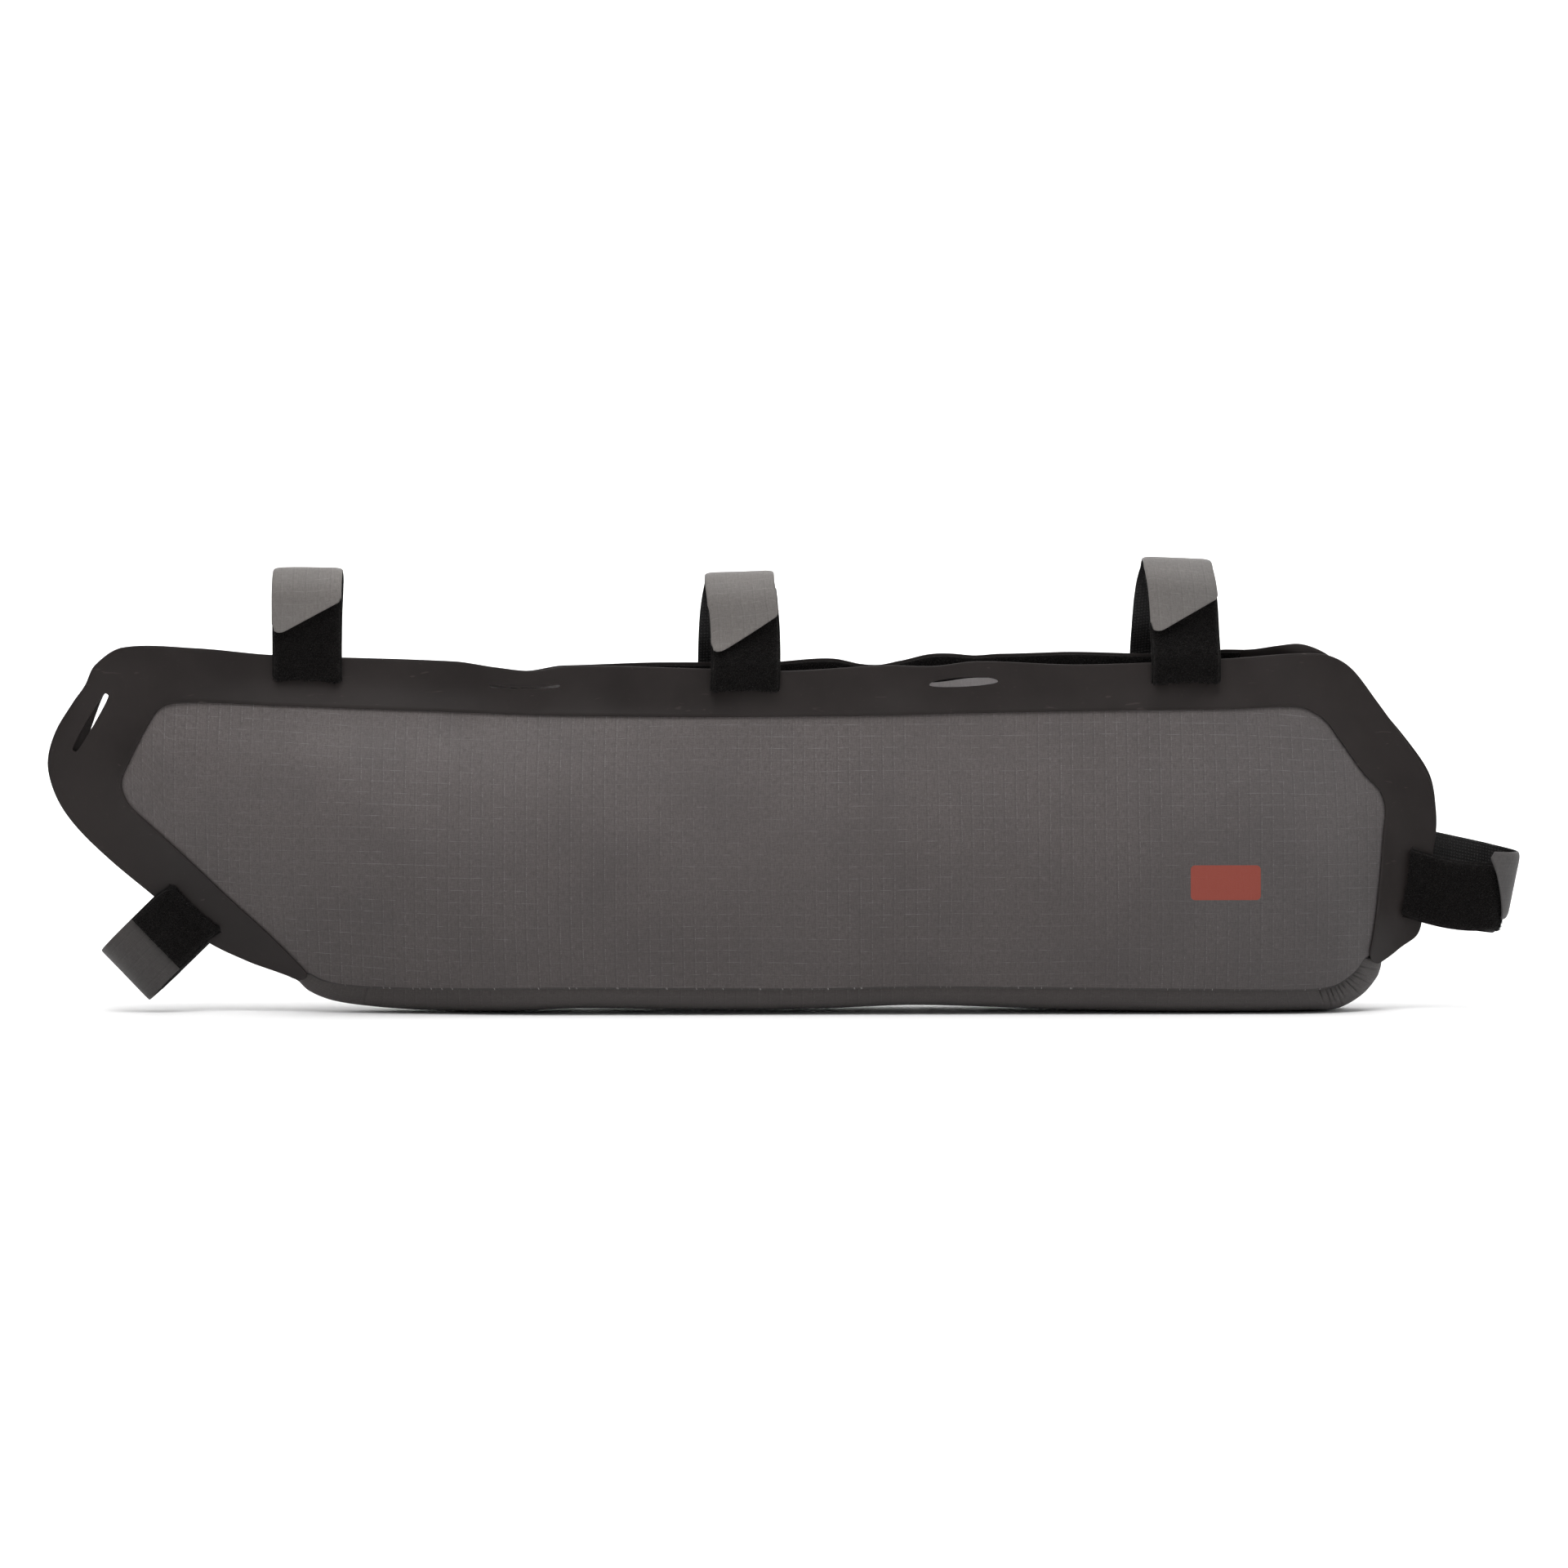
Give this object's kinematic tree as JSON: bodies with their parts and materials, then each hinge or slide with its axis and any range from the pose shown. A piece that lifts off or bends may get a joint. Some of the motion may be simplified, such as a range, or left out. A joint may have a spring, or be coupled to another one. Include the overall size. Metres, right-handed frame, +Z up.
{
  "type": "bicycle half-frame bag",
  "caption": "Long soft half-frame bag of grey ripstop with a welded black rubbery edge band, open mouth along the top and hook-and-loop strap loops for the frame tubes.",
  "frame": {"origin": "under the middle of the whole bag, on the surface that it stands on", "axes": "X along the bag, with the low tapered tip at -X, Y across it with the front at -Y, Z up to the mouth and its strap loops"},
  "size_m": [0.531, 0.0542, 0.1638],
  "materials": {
    "ripstop": "matt coated ripstop cloth",
    "band": "matt black rubbery film",
    "strap": "light grey coated ripstop",
    "pile": "black brushed loop pile"
  },
  "bodies": {
    "root": {"front_panel": "ripstop", "back_panel": "ripstop", "front_band": "band", "back_band": "band", "front_closure_tape": "pile", "back_closure_tape": "pile", "bottom_gusset": "ripstop", "strap_top_left": "strap", "pile_top_left_tab_side": "pile", "pile_top_left_plain_side": "pile", "strap_top_middle": "strap", "pile_top_middle_tab_side": "pile", "pile_top_middle_plain_side": "pile", "strap_top_right": "strap", "pile_top_right_tab_side": "pile", "pile_top_right_plain_side": "pile", "strap_lower_left": "strap", "pile_lower_left_tab_side": "pile", "pile_lower_left_plain_side": "pile", "strap_right": "strap", "pile_right_tab_side": "pile", "pile_right_plain_side": "pile"}
  },
  "joints": []
}
